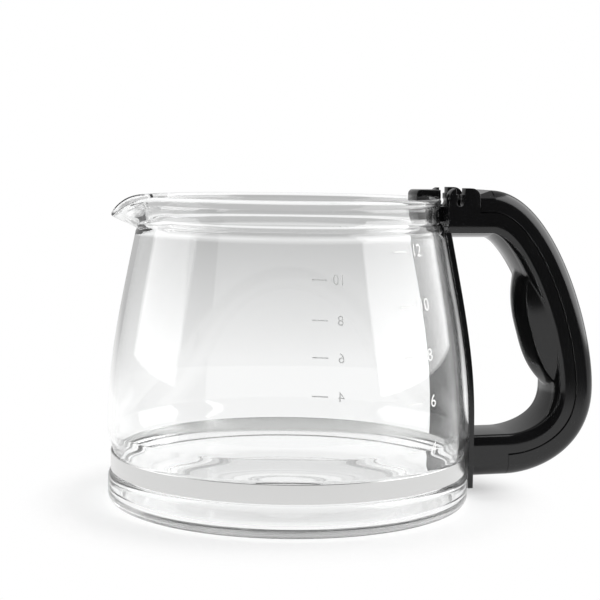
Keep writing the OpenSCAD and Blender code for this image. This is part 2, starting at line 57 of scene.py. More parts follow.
SPOUT_HALF_ANGLE, SPOUT_FALL = math.radians(26), 2.4
UNDERSIDE = [(0, 2.5), (6, 2.45), (11, 2.2), (14, 1.78), (17, 1.52), (22, 1.48), (40, 1.44), (56, 1.38),
             (60.5, 1.2), (63.5, 0.62), (66, 0.08), (68, 0), (70, 0)]
JUG_TURNS, NECK_STEPS, SPOUT_STEPS = 240, 6, 5
WELD = 0.000001
GLASS_TINT, GLASS_SHADE = (0.995, 0.998, 0.997, 1), (0.93, 0.935, 0.935, 1)
NOISE_LOW, NOISE_HIGH = 0.3, 0.7


def oval(centre, axes, start, stop, count):
    """Points of an ellipse between two angles in degrees."""
    w = np.radians(np.linspace(start, stop, count))
    return np.stack([centre[0] + axes[0] * np.cos(w), centre[1] + axes[1] * np.sin(w)], 1)


def ease(t):
    """A value that eases from 0 to 1."""
    c = np.clip(t, 0, 1)
    return c * c * (3 - 2 * c)


def bezier(p, t):
    """Points of a cubic curve and the directions in which it runs."""
    p, t = np.asarray(p, float), np.asarray(t, float)[:, None]
    u = 1 - t
    at = u**3 * p[0] + 3 * u * u * t * p[1] + 3 * u * t * t * p[2] + t**3 * p[3]
    run = u * u * (p[1] - p[0]) + 2 * u * t * (p[2] - p[1]) + t * t * (p[3] - p[2])
    return at, run / np.linalg.norm(run, axis=1, keepdims=True)


def spline(points, per_span):
    """A smooth line through the points, with per_span steps from each to the next."""
    p = np.asarray(points, float)
    q = np.vstack([2 * p[0] - p[1], p, 2 * p[-1] - p[-2]])
    line = []
    for a, b, c, d in zip(q, q[1:], q[2:], q[3:]):
        for t in np.arange(per_span) / per_span:
            line.append(0.5 * (2 * b + (c - a) * t + (2 * a - 5 * b + 4 * c - d) * t**2
                               + (3 * b - 3 * c + d - a) * t**3))
    return np.array(line + [p[-1]])


def neck_skin(middle, thickness):
    """Up the neck's outside, over its bead and down its inside, from its middle line."""
    line = spline([(r, z, t) for (r, z), t in zip(middle, thickness)], NECK_STEPS)[NECK_STEPS:]
    run = np.gradient(line[:, :2], axis=0)
    run /= np.linalg.norm(run, axis=1, keepdims=True)
    out = np.stack([run[:, 1], -run[:, 0]], 1) * line[:, 2:] / 2
    tilt = math.degrees(math.atan2(out[-1, 1], out[-1, 0]))
    half = line[-1, 2] / 2
    bead = oval(line[-1, :2], (half, half), tilt, tilt + 180, 14)[1:-1]
    return np.vstack([line[:, :2] + out, bead, (line[:, :2] - out)[::-1]])


def jug_profile(neck):
    """The whole section of the jug, from the middle of its underside to the middle of its floor."""
    floor_r = SEAT_R - GLASS_T - FLOOR_ROUND
    under = np.maximum(spline(UNDERSIDE, 5), 0)
    foot = oval((FOOT_R - FOOT_EDGE, FOOT_EDGE), (FOOT_EDGE, FOOT_EDGE), -90, 0, 18)
    seat_low = oval((SEAT_R, SEAT_Z0 - SEAT_LEAD), (FOOT_R - SEAT_R, SEAT_LEAD), 0, 90, 14)[1:]
    up = np.linspace(0, 1, 24)
    seat_high = np.stack([SEAT_R + (BELLY_R - SEAT_R) * ease(up), SEAT_Z1 + (BELLY_Z - SEAT_Z1) * up], 1)
    wall = WALL[1:]
    outside = wall[wall[:, 1] < CREASE_Z - WALL_STOP_OUT]
    inside = (wall[wall[:, 1] < CREASE_Z - WALL_STOP_IN] - (GLASS_T, 0))[::-1]
    inner_high = (seat_high - (GLASS_T, 0))[::-1]
    floor_edge = oval((floor_r, FLOOR_Z + FLOOR_ROUND), (FLOOR_ROUND, FLOOR_ROUND), 0, -90, 20)
    out = np.linspace(1, 0, 25)[1:]
    floor = np.stack([out * floor_r, FLOOR_Z + FLOOR_CROWN * (1 - out**2)], 1)
    return np.vstack([under, foot, seat_low, seat_high, outside, neck, inside, inner_high, floor_edge, floor])


def new_tree(name, kind, inputs, outputs):
    """A node tree with its named inputs, as (kind, value), and outputs; also what it is given."""
    tree = bpy.data.node_groups.new(name, kind)
    for key, (what, value) in inputs.items():
        socket = tree.interface.new_socket(name=key, in_out="INPUT", socket_type="NodeSocket" + what)
        if value is not None:
            socket.default_value = value
    for key, what in outputs.items():
        tree.interface.new_socket(name=key, in_out="OUTPUT", socket_type="NodeSocket" + what)
    return tree, tree.nodes.new("NodeGroupInput").outputs


def add_node(tree, kind, inputs=None, **settings):
    """A node with its settings, and its inputs linked to a socket or set to a value."""
    node = tree.nodes.new(kind)
    for name, value in settings.items():
        setattr(node, name, value)
    for name, value in (inputs or {}).items():
        if isinstance(value, bpy.types.NodeSocket):
            tree.links.new(value, node.inputs[name])
        else:
            node.inputs[name].default_value = value
    return node


def calc(tree, operation, *values):
    """A maths node's result."""
    return add_node(tree, "ShaderNodeMath", dict(enumerate(values)), operation=operation).outputs[0]


def give_out(tree, geometry, material, name):
    """The end of a geometry tree: its geometry made real, in one material."""
    real = add_node(tree, "GeometryNodeRealizeInstances", {"Geometry": geometry})
    coated = add_node(tree, "GeometryNodeSetMaterial", {"Geometry": real.outputs[0], "Material": material})
    add_node(tree, "NodeGroupOutput", {name: coated.outputs[0]})


def put_in_scene(name, data):
    """A new object in the scene."""
    obj = bpy.data.objects.new(name, data)
    bpy.context.scene.collection.objects.link(obj)
    return obj


def final_mesh(obj):
    """The plain mesh of an object after its modifiers."""
    bpy.context.view_layer.update()
    return bpy.data.meshes.new_from_object(obj.evaluated_get(bpy.context.evaluated_depsgraph_get()))


def run_tree(name, mesh, tree, values):
    """An object with the plain mesh that a geometry tree makes of a mesh and of values by name."""
    obj = put_in_scene(name, mesh)
    modifier = obj.modifiers.new(name, "NODES")
    modifier.node_group = tree
    for item in tree.interface.items_tree:
        if item.in_out == "INPUT" and item.name in values:
            modifier[item.identifier] = values[item.name]
    made = final_mesh(obj)
    obj.modifiers.remove(modifier)
    obj.data = made
    made.name = name
    return obj


def seat_piece(obj, node):
    """A finished piece rides on the one rigid body and stands for its solid."""
    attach(obj, "root")
    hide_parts(node)


# The finish that every material shares: broad patches and a fine grain in Object coordinates.
surface_life, given = new_tree(
    "surface_life", "ShaderNodeTree", {"Patch Scale": ("Float", 30.0), "Grain Scale": ("Float", 900.0)},
    {"Patch": "Float", "Grain": "Float"})
life_place = surface_life.nodes.new("ShaderNodeTexCoord").outputs["Object"]
life_patch = add_node(surface_life, "ShaderNodeTexNoise", {
    "Vector": life_place, "Scale": given["Patch Scale"], "Detail": 3.0, "Roughness": 0.55})
life_grain = add_node(surface_life, "ShaderNodeTexNoise", {
    "Vector": life_place, "Scale": given["Grain Scale"], "Detail": 2.0})
add_node(surface_life, "NodeGroupOutput", {
    "Patch": life_patch.outputs["Fac"], "Grain": life_grain.outputs["Fac"]})


def new_material(name, patch_scale, grain_scale, **constants):
    """A material with its principled shader, and the shared finish at this material's scales."""
    material = bpy.data.materials.new(name)
    material.use_nodes = True
    tree = material.node_tree
    shader = next(n for n in tree.nodes if n.type == "BSDF_PRINCIPLED")
    for key, value in constants.items():
        shader.inputs[key.replace("_", " ")].default_value = value
    life = add_node(tree, "ShaderNodeGroup", node_tree=surface_life)
    life.inputs["Patch Scale"].default_value = patch_scale
    life.inputs["Grain Scale"].default_value = grain_scale
    return material, tree, shader, life


def ramp(tree, value, start, stop, low, high, shape="LINEAR"):
    """A value that runs from start to stop, brought to the range from low to high."""
    return add_node(tree, "ShaderNodeMapRange", {
        "Value": value, "From Min": start, "From Max": stop, "To Min": low, "To Max": high},
        interpolation_type=shape).outputs["Result"]


def spread(tree, noise, low, high):
    """A noise, which seldom leaves its middle range, brought to the range from low to high."""
    return ramp(tree, noise, NOISE_LOW, NOISE_HIGH, low, high)


def bump(tree, shader, height, distance, strength):
    """A height that dents the surface's shading by a distance in metres."""
    node = add_node(tree, "ShaderNodeBump", {"Height": height, "Distance": distance, "Strength": strength})
    tree.links.new(node.outputs["Normal"], shader.inputs["Normal"])


jug_glass, tree, shader, life = new_material(
    "clear_glass", patch_scale=22.0, grain_scale=260.0,
    Base_Color=GLASS_TINT, IOR=1.47, Transmission_Weight=1.0)
tree.links.new(spread(tree, life.outputs["Patch"], 0.0, 0.006), shader.inputs["Roughness"])
bump(tree, shader, life.outputs["Patch"], distance=0.00004, strength=0.6)

# The glass throws only a light shadow, because it lets most of the light pass.
glass_out = next(n for n in tree.nodes if n.type == "OUTPUT_MATERIAL")
clear = add_node(tree, "ShaderNodeBsdfTransparent", {"Color": GLASS_SHADE})
light_path = tree.nodes.new("ShaderNodeLightPath")
let_through = add_node(tree, "ShaderNodeMixShader", {
    0: light_path.outputs["Is Shadow Ray"], 1: shader.outputs[0], 2: clear.outputs[0]})
tree.links.new(let_through.outputs[0], glass_out.inputs["Surface"])

# The jug's rule: a profile turned about the axis, which slides to the spout's profile near the spout.
turning, given = new_tree("jug_turning", "GeometryNodeTree", {
    "Profile": ("Geometry", None), "Turns": ("Int", JUG_TURNS), "Points": ("Int", 2),
    "Spout Half Angle": ("Float", SPOUT_HALF_ANGLE), "Spout Fall": ("Float", SPOUT_FALL),
    "Glass": ("Material", None)}, {"Jug": "Geometry"})
grid = add_node(turning, "GeometryNodeMeshGrid", {
    "Size X": 1.0, "Size Y": 1.0, "Vertices X": calc(turning, "ADD", given["Turns"], 1.0),
    "Vertices Y": given["Points"]})
place = turning.nodes.new("GeometryNodeInputPosition").outputs[0]
across = add_node(turning, "ShaderNodeSeparateXYZ", {0: place}).outputs
angle = calc(turning, "MULTIPLY", calc(turning, "ADD", across["X"], 0.5), 2 * math.pi)
step = calc(turning, "MULTIPLY", calc(turning, "ADD", across["Y"], 0.5),
            calc(turning, "SUBTRACT", given["Points"], 1.0))
index = add_node(turning, "FunctionNodeFloatToInt", {0: step}, rounding_mode="ROUND").outputs[0]
from_spout = calc(turning, "MINIMUM", angle, calc(turning, "SUBTRACT", 2 * math.pi, angle))
fraction = calc(turning, "MINIMUM", calc(turning, "DIVIDE", from_spout, given["Spout Half Angle"]), 1.0)
quarter = calc(turning, "MULTIPLY", fraction, math.pi / 2)
share = calc(turning, "POWER", calc(turning, "COSINE", quarter), 2.0)
fall = calc(turning, "POWER", share, given["Spout Fall"])
tip = add_node(turning, "GeometryNodeInputNamedAttribute", {"Name": "spout"}, data_type="FLOAT_VECTOR")
samples = []
for value in (place, tip.outputs["Attribute"]):
    sample = add_node(turning, "GeometryNodeSampleIndex", {
        "Geometry": given["Profile"], "Value": value, "Index": index}, data_type="FLOAT_VECTOR")
    samples.append(add_node(turning, "ShaderNodeSeparateXYZ", {0: sample.outputs[0]}).outputs)
plain, drawn = samples
radius = calc(turning, "MULTIPLY_ADD", calc(turning, "SUBTRACT", drawn["X"], plain["X"]), share, plain["X"])
height = calc(turning, "MULTIPLY_ADD", calc(turning, "SUBTRACT", drawn["Z"], plain["Z"]), fall, plain["Z"])
turned = add_node(turning, "ShaderNodeCombineXYZ", {
    "X": calc(turning, "MULTIPLY", radius, calc(turning, "MULTIPLY", calc(turning, "COSINE", angle), -1.0)),
    "Y": calc(turning, "MULTIPLY", radius, calc(turning, "MULTIPLY", calc(turning, "SINE", angle), -1.0)),
    "Z": height})
skin = add_node(turning, "GeometryNodeSetPosition", {
    "Geometry": grid.outputs["Mesh"], "Position": turned.outputs[0]})
closed = add_node(turning, "GeometryNodeMergeByDistance", {"Geometry": skin.outputs[0], "Distance": WELD})
smooth = add_node(turning, "GeometryNodeSetShadeSmooth", {"Geometry": closed.outputs[0]})
give_out(turning, smooth.outputs[0], given["Glass"], "Jug")

WALL = bezier([(BELLY_R, BELLY_Z), (BELLY_R, WALL_LOW_PULL_Z), WALL_HIGH_PULL, (CREASE_R, CREASE_Z)],
              np.linspace(0, 1, 57))[0]
spout_neck = PLAIN_NECK[:2] + [
    tuple(np.add(SPOUT_ROOT, np.subtract(SPOUT_TIP, SPOUT_ROOT) * k / SPOUT_STEPS))
    for k in range(1, SPOUT_STEPS + 1)]
plain_profile = jug_profile(neck_skin(PLAIN_NECK, PLAIN_NECK_T))
spout_profile = jug_profile(neck_skin(spout_neck, PLAIN_NECK_T[:2] + [SPOUT_T] * SPOUT_STEPS))
profile = bpy.data.meshes.new("jug_profile")
profile.from_pydata([(r * MM, 0, z * MM) for r, z in plain_profile], [], [])
tips = profile.attributes.new("spout", "FLOAT_VECTOR", "POINT")
tips.data.foreach_set("vector", [c for r, z in spout_profile for c in (r * MM, 0.0, z * MM)])
jug = run_tree("jug_glass", profile, turning, {"Points": len(plain_profile), "Glass": jug_glass})
seat_piece(jug, "glass_jug")

# Cup marks: two scales of plain ticks and numbers in white ceramic ink, printed on the outside of the
# glass on either side of the handle and fired on. Each is laid out flat, then wrapped on the wall.
MARKS = {"4": 31.3, "6": 50.0, "8": 68.0, "10": 87.4, "12": 108.5}
TICK_ANGLE, DIGIT_ANGLE = math.radians(64), math.radians(56)
TICK_L, TICK_W, DIGIT_H, INK_T = 8.0, 0.6, 5.0, 0.05
FONT_PER_DIGIT, INK_LIFT, RAY_R = 1.4, 0.6, 100.0


def tone(tree, shader, mask, dark, light):
    """A base colour that goes from dark to light with a mask."""
    mix = add_node(tree, "ShaderNodeMix", {0: mask, 6: (*dark, 1), 7: (*light, 1)}, data_type="RGBA")
    tree.links.new(mix.outputs[2], shader.inputs["Base Color"])


ink, tree, shader, life = new_material(
    "white_ink", patch_scale=160.0, grain_scale=2600.0, Roughness=0.5)
tone(tree, shader, life.outputs["Patch"], (0.86, 0.86, 0.85), (0.94, 0.94, 0.93))
bump(tree, shader, life.outputs["Grain"], distance=0.00001, strength=0.5)

# The rule of a scale: a tick at each mark, joined to the numbers, and all of it laid on the jug.
printing, given = new_tree("scale_printing", "GeometryNodeTree", {
    "Marks": ("Geometry", None), "Numbers": ("Object", None), "Jug": ("Object", None),
    "Tick Length": ("Float", TICK_L * MM), "Tick Width": ("Float", TICK_W * MM),
    "Ink Thickness": ("Float", INK_T * MM), "Ink": ("Material", None)}, {"Scale": "Geometry"})
tick_size = add_node(printing, "ShaderNodeCombineXYZ", {
    "X": given["Tick Length"], "Y": given["Tick Width"], "Z": given["Ink Thickness"]})
tick = add_node(printing, "GeometryNodeMeshCube", {
    "Size": tick_size.outputs[0], "Vertices X": 17, "Vertices Y": 2, "Vertices Z": 2})
ticks = add_node(printing, "GeometryNodeInstanceOnPoints", {
    "Points": add_node(printing, "GeometryNodeMeshToPoints", {"Mesh": given["Marks"]}).outputs[0],
    "Instance": tick.outputs["Mesh"]})
single_ticks = add_node(printing, "GeometryNodeRealizeInstances", {"Geometry": ticks.outputs[0]})
numbers = add_node(printing, "GeometryNodeObjectInfo", {"Object": given["Numbers"]})
flat = add_node(printing, "GeometryNodeJoinGeometry")
printing.links.new(single_ticks.outputs[0], flat.inputs[0])
printing.links.new(numbers.outputs["Geometry"], flat.inputs[0])
laid = add_node(printing, "ShaderNodeSeparateXYZ", {
    0: printing.nodes.new("GeometryNodeInputPosition").outputs[0]}).outputs
turn = calc(printing, "DIVIDE", laid["X"], BELLY_R * MM)
outwards = add_node(printing, "ShaderNodeCombineXYZ", {
    "X": calc(printing, "COSINE", turn), "Y": calc(printing, "SINE", turn)}).outputs[0]
far_out = add_node(printing, "ShaderNodeVectorMath", {0: outwards, "Scale": RAY_R * MM}, operation="SCALE")
start = add_node(printing, "ShaderNodeVectorMath", {
    0: far_out.outputs[0], 1: add_node(printing, "ShaderNodeCombineXYZ", {"Z": laid["Y"]}).outputs[0]})
inwards = add_node(printing, "ShaderNodeVectorMath", {0: outwards, "Scale": -1.0}, operation="SCALE")
jug_info = add_node(printing, "GeometryNodeObjectInfo", {"Object": given["Jug"]})
hit = add_node(printing, "GeometryNodeRaycast", {
    "Target Geometry": jug_info.outputs["Geometry"], "Source Position": start.outputs[0],
    "Ray Direction": inwards.outputs[0], "Ray Length": RAY_R * MM})
lift = add_node(printing, "ShaderNodeVectorMath", {
    0: outwards, "Scale": calc(printing, "MULTIPLY_ADD", given["Ink Thickness"], INK_LIFT, laid["Z"])},
    operation="SCALE")
wrapped = add_node(printing, "ShaderNodeVectorMath", {
    0: hit.outputs["Hit Position"], 1: lift.outputs[0]})
printed = add_node(printing, "GeometryNodeSetPosition", {
    "Geometry": flat.outputs[0], "Position": wrapped.outputs[0]})
give_out(printing, printed.outputs[0], given["Ink"], "Scale")


def from_builder(name, builder):
    """A new object with the mesh of a builder, which is used up."""
    mesh = bpy.data.meshes.new(name)
    builder.to_mesh(mesh)
    builder.free()
    return put_in_scene(name, mesh)


def flat_numbers(name, along):
    """The numbers of a scale as one flat mesh: X along the glass, Y up."""
    builder = bmesh.new()
    for word, z in MARKS.items():
        text = bpy.data.curves.new(name, "FONT")
        text.body, text.align_x, text.align_y = word, "CENTER", "CENTER"
        text.size, text.extrude, text.resolution_u = DIGIT_H * FONT_PER_DIGIT * MM, INK_T * MM / 2, 6
        holder = put_in_scene(name, text)
        mesh = final_mesh(holder)
        mesh.transform(Matrix.Translation((along * BELLY_R * MM, z * MM, 0)))
        builder.from_mesh(mesh)
        bpy.data.objects.remove(holder)
        bpy.data.meshes.remove(mesh)
    bmesh.ops.remove_doubles(builder, verts=builder.verts, dist=1e-7)
    return from_builder(name, builder)


for name, side in (("scale_near", -1), ("scale_far", 1)):
    marks = bpy.data.meshes.new(name)
    marks.from_pydata([(side * TICK_ANGLE * BELLY_R * MM, z * MM, 0) for z in MARKS.values()], [], [])
    numbers_obj = flat_numbers(name + "_numbers", side * DIGIT_ANGLE)
    scale = run_tree(name, marks, printing, {"Numbers": numbers_obj, "Jug": jug, "Ink": ink})
    bpy.data.objects.remove(numbers_obj)
    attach(scale, "root")

# Steel band: a strip of brushed stainless steel laid in the seat of the glass. Its two ends turn out
# into the handle as ears with a hole each, and the nut that lies in them draws the band tight.
# Solids that are joined overlap a little, and those that cut pass a little beyond the faces.
BAND_R, BAND_T, BAND_H, EDGE_ROLL, BAND_SHARP = 74.5, 0.5, 7.6, 0.2, 10
EAR_GAP, EAR_H, EAR_HOLE_D, EAR_STEP_X = 7.0, 10.0, 7.2, 77.3
NUT_X, CLAMP_Z = 81.0, 17.6
OVERLAP, CUT_PAST = 0.02, 1.0
BRUSH_ROUND, BRUSH_UP = 4.0, 9000.0
SHARP_EDGE, SOLID_WELD = math.radians(35), 1e-4

steel, tree, shader, life = new_material(
    "brushed_steel", patch_scale=40.0, grain_scale=500.0, Metallic=1.0, Anisotropic=0.4)
where = add_node(tree, "ShaderNodeSeparateXYZ", {
    0: tree.nodes.new("ShaderNodeTexCoord").outputs["Object"]}).outputs
lines = add_node(tree, "ShaderNodeCombineXYZ", {
    "X": calc(tree, "MULTIPLY", calc(tree, "ARCTAN2", where["Y"], where["X"]), BRUSH_ROUND),
    "Y": calc(tree, "MULTIPLY", where["Z"], BRUSH_UP)})
brushing = add_node(tree, "ShaderNodeTexNoise", {"Vector": lines.outputs[0], "Scale": 1.0, "Detail": 4.0})
tone(tree, shader, brushing.outputs["Fac"], (0.64, 0.64, 0.635), (0.75, 0.75, 0.745))
tree.links.new(spread(tree, brushing.outputs["Fac"], 0.14, 0.24), shader.inputs["Roughness"])
bump(tree, shader, brushing.outputs["Fac"], distance=0.000008, strength=0.5)

# The rule of the band: a flat section with rolled edges, swept round the jug from ear to ear.
sweep, given = new_tree("band_sweep", "GeometryNodeTree", {
    "Start": ("Geometry", None), "Middle Radius": ("Float", (BAND_R + BAND_T / 2) * MM),
    "Thickness": ("Float", BAND_T * MM), "Width": ("Float", BAND_H * MM),
    "Edge Roll": ("Float", EDGE_ROLL * MM), "Height": ("Float", CLAMP_Z * MM),
    "Half Gap": ("Float", math.asin((EAR_GAP + BAND_T) / 2 / BAND_R)),
    "Steel": ("Material", None)}, {"Band": "Geometry"})
round_jug = add_node(sweep, "GeometryNodeCurveArc", {
    "Resolution": 361, "Radius": given["Middle Radius"], "Start Angle": given["Half Gap"],
    "Sweep Angle": calc(sweep, "MULTIPLY_ADD", given["Half Gap"], -2.0, 2 * math.pi)})
section = add_node(sweep, "GeometryNodeCurvePrimitiveQuadrilateral", {
    "Width": given["Thickness"], "Height": given["Width"]})
rolled = add_node(sweep, "GeometryNodeFilletCurve", {
    "Curve": section.outputs[0], "Radius": given["Edge Roll"], "Count": 3}, mode="POLY")
strip = add_node(sweep, "GeometryNodeCurveToMesh", {
    "Curve": round_jug.outputs[0], "Profile Curve": rolled.outputs[0], "Fill Caps": True})
raised = add_node(sweep, "GeometryNodeTransform", {
    "Geometry": strip.outputs[0],
    "Translation": add_node(sweep, "ShaderNodeCombineXYZ", {"Z": given["Height"]}).outputs[0]})
give_out(sweep, raised.outputs[0], given["Steel"], "Band")


def solid(name, verts, faces, edge=0.0):
    """A closed mesh from points in millimetres, with its sharp edges rounded by edge."""
    builder = bmesh.new()
    points = [builder.verts.new(v) for v in np.asarray(verts, float)]
    for f in faces:
        builder.faces.new([points[i] for i in f])
    bmesh.ops.remove_doubles(builder, verts=builder.verts, dist=SOLID_WELD)
    bmesh.ops.dissolve_degenerate(builder, edges=builder.edges, dist=SOLID_WELD)
    bmesh.ops.recalc_face_normals(builder, faces=builder.faces)
    if edge:
        sharp = [e for e in builder.edges if e.is_manifold and e.calc_face_angle(0) > SHARP_EDGE]
        bmesh.ops.bevel(builder, geom=sharp, offset=edge, segments=3, profile=0.5, affect="EDGES",
                        clamp_overlap=True)
    bmesh.ops.scale(builder, vec=(MM, MM, MM), verts=builder.verts)
    return from_builder(name, builder)


def loft(name, rings, edge=0.0):
    """A closed skin through rings that have the same number of points."""
    n = len(rings[0])
    faces = [[i * n + j, i * n + (j + 1) % n, (i + 1) * n + (j + 1) % n, (i + 1) * n + j]
             for i in range(len(rings) - 1) for j in range(n)]
    faces += [list(range(n))[::-1], [(len(rings) - 1) * n + j for j in range(n)]]
    return solid(name, np.vstack(rings), faces, edge)


def plate(name, outline, y0, y1, edge=0.0):
    """An outline in X and Z drawn out across the handle from y0 to y1."""
    return loft(name, [[(x, y, z) for x, z in outline] for y in (y0, y1)], edge)


def rod(name, start, stop, d, axis="X"):
    """A round bar on the clamp screw's axis from start to stop, or on the nut's axis across it."""
    ring = oval((0, 0), (d / 2, d / 2), 0, 360, 73)[:-1]
    if axis == "X":
        return loft(name, [[(x, a, CLAMP_Z + b) for a, b in ring] for x in (start, stop)])
    return loft(name, [[(NUT_X + a, y, CLAMP_Z + b) for a, b in ring] for y in (start, stop)])


def join(base, tool, how):
    """base with another solid added, or cut away by it; the other solid is used up."""
    modifier = base.modifiers.new(how, "BOOLEAN")
    modifier.operation, modifier.solver, modifier.object = how, "MANIFOLD", tool
    mesh = final_mesh(base)
    base.modifiers.remove(modifier)
    base.data = mesh
    bpy.data.objects.remove(tool)


def smooth_faces(obj, material, angle=32):
    """One material, and shading that breaks only at edges sharper than the angle."""
    obj.data.materials.clear()
    obj.data.materials.append(material)
    obj.data.shade_smooth()
    obj.data.set_sharp_from_angle(angle=math.radians(angle))


band = run_tree("band_steel", bpy.data.meshes.new("band_start"), sweep, {"Steel": steel})
ear_root, half_h, half_ear = BAND_R + OVERLAP, BAND_H / 2, EAR_H / 2
ear_outline = [(ear_root, CLAMP_Z - half_h), (EAR_STEP_X, CLAMP_Z - half_h),
               (EAR_STEP_X, CLAMP_Z - half_ear),
               *oval((NUT_X, CLAMP_Z), (half_ear, half_ear), -90, 90, 33),
               (EAR_STEP_X, CLAMP_Z + half_ear), (EAR_STEP_X, CLAMP_Z + half_h),
               (ear_root, CLAMP_Z + half_h)]
for side in (-1, 1):
    y0, y1 = sorted((side * EAR_GAP / 2, side * (EAR_GAP / 2 + BAND_T)))
    ear = plate("ear", ear_outline, y0, y1)
    join(ear, rod("ear_hole", y0 - CUT_PAST, y1 + CUT_PAST, EAR_HOLE_D, "Y"), "DIFFERENCE")
    join(band, ear, "UNION")
smooth_faces(band, steel, BAND_SHARP)
seat_piece(band, "waist_band")

# Clamp nut, screw and washer: small turned and stamped pieces of zinc-plated steel inside the lower
# arm. The screw runs from under the cover through the arm into the nut that lies across the ears.
zinc, tree, shader, life = new_material(
    "zinc_plate", patch_scale=120.0, grain_scale=1800.0, Metallic=1.0)
tone(tree, shader, life.outputs["Patch"], (0.50, 0.51, 0.52), (0.64, 0.65, 0.66))
tree.links.new(spread(tree, life.outputs["Grain"], 0.25, 0.42), shader.inputs["Roughness"])
bump(tree, shader, life.outputs["Grain"], distance=0.00001, strength=0.4)
for name in ("clamp_nut", "clamp_screw", "clamp_washer"):
    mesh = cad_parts[name].data
    mesh.materials.clear()
    mesh.materials.append(zinc)

# Handle body: one moulding in glossy black plastic. The hook goes over the rim, the cheeks take the
# lid's pins, the strap lies on the glass, and the arched channel with its finger swelling is the grip.
# Places along the handle are distances on its outer line, from the start of the rear cover.
ARM_H, HALF_W, TOP_Z, BOTTOM_Z, CHANNEL_Z = 18.3, 13.0, 131.3, 7.6, 124.2
BLOCK_X, COVER_X, CROWN_X, LOWER_END_X, GRIP_X, BULGE_Z = 65.74, 79.94, 86.34, 95.5, 136.1, 44.5
UPPER_BEND_X, UPPER_BEND_Z, LOWER_BEND_Z, LOWER_BEND_X = 29.1, 27.2, 26.0, 17.7
UPPER_CURVE = [(CROWN_X, TOP_Z), (CROWN_X + UPPER_BEND_X, TOP_Z), (GRIP_X, BULGE_Z + UPPER_BEND_Z),
               (GRIP_X, BULGE_Z)]
LOWER_CURVE = [(GRIP_X, BULGE_Z), (GRIP_X, BULGE_Z - LOWER_BEND_Z), (LOWER_END_X + LOWER_BEND_X, BOTTOM_Z),
               (LOWER_END_X, BOTTOM_Z)]
ARM_EDGE, ARM_EDGE_H, GRIP_EDGE, GRIP_EDGE_H = 1.8, 5.6, 6.2, 4.0
GRIP_START, GRIP_START_RUN, GRIP_END, GRIP_END_RUN = 12, 40, 8, 50
UPPER_CROWN, LOWER_CROWN, CROWN_START, CROWN_RUN = 2.2, 0.5, 10, 40
SWELL_H, SWELL_RISE, SWELL_MID, SWELL_HALF, SWELL_W, SWELL_STEEP = 7.7, 2.2, 81.0, 29.3, 18.0, 2.6
SWELL_POWER, RIDGE_SLOPE, RIDGE_ROUND = 2.6, 0.42, 1.5
SWELL_SIDE_ROUND, SWELL_BLEND, FACE_TRIM = 0.5, 0.12, 0.02
BODY_WALL, COVER_H, SEAM_GAP, COVER_EDGE, SEAM_EDGE = 2.6, 9.3, 0.15, 5.5, 0.4
GLASS_GAP, ARM_IN_STRAP, MOULD_EDGE = 0.3, 0.4, 0.4

plastic, tree, shader, life = new_material(
    "gloss_black_plastic", patch_scale=45.0, grain_scale=1500.0, Specular_IOR_Level=0.5)
tone(tree, shader, life.outputs["Patch"], (0.0035, 0.0035, 0.0038), (0.0065, 0.0065, 0.007))
tree.links.new(spread(tree, life.outputs["Patch"], 0.10, 0.17), shader.inputs["Roughness"])
bump(tree, shader, life.outputs["Grain"], distance=0.000004, strength=0.3)

upper_at, upper_run = bezier(UPPER_CURVE, np.linspace(0, 1, 97))
lower_at, lower_run = bezier(LOWER_CURVE, np.linspace(0, 1, 61)[1:])
line_at = np.vstack([[(COVER_X, TOP_Z)], upper_at, lower_at])
line_dir = np.vstack([[(1, 0)], upper_run, lower_run])
line_run = np.concatenate([[0], np.cumsum(np.linalg.norm(np.diff(line_at, axis=0), axis=1))])
LINE_END = line_run[-1]


def soft_max(a, b, k):
    """The larger of two values, with the crease between them rounded."""
    return (a + b + np.sqrt((a - b) ** 2 + k * k)) / 2


def face_depth(d, y):
    """Depth of the inner face at a place along and across the handle, its flat half and its edge."""
    in_grip = ease((d - GRIP_START) / GRIP_START_RUN) * ease((LINE_END - GRIP_END - d) / GRIP_END_RUN)
    e = ARM_EDGE + (GRIP_EDGE - ARM_EDGE) * in_grip
    h = ARM_EDGE_H + (GRIP_EDGE_H - ARM_EDGE_H) * in_grip
    flat = HALF_W - e
    crown = UPPER_CROWN + (LOWER_CROWN - UPPER_CROWN) * ease((d - CROWN_START) / CROWN_RUN)
    over = np.clip((np.abs(y) - flat) / e, 0, 1)
    rounded = ARM_H - h + h * np.sqrt(1 - over**2)
    face = np.where(over > 0, rounded, ARM_H + crown * (1 - (y / flat) ** 2))
    swell = SWELL_H * (1 - abs((d - SWELL_MID) / SWELL_HALF) ** SWELL_POWER)
    ridge = SWELL_RISE - RIDGE_SLOPE * (np.hypot(y, RIDGE_ROUND) - RIDGE_ROUND)
    side = soft_max(np.abs(y) - SWELL_W / 2, 0, SWELL_SIDE_ROUND) * (SWELL_STEEP - RIDGE_SLOPE)
    return soft_max(face, ARM_H + swell + ridge - side, SWELL_BLEND) - FACE_TRIM, flat, e


def whole(half):
    """A chain across the handle from its half, which runs from +Y to the middle."""
    half = np.asarray(half, float)
    return np.vstack([half, (half * (1, -1))[-2::-1]])


def face_chain(d, open_u, bevel=0.0):
    """The section of the inner face, from the open edge on one side round to the other, as (u, y)."""
    _, flat, e = face_depth(d, np.zeros(1))
    y = np.concatenate([flat + e * np.cos(np.linspace(0, np.pi / 2, 33)), np.linspace(flat, 0, 21)[1:]])
    u = face_depth(d, y)[0]
    sides = [(open_u, HALF_W - bevel), (open_u + bevel, HALF_W), ((open_u + u[0]) / 2, HALF_W)]
    return whole(np.vstack([sides, np.stack([u, y], 1)]))


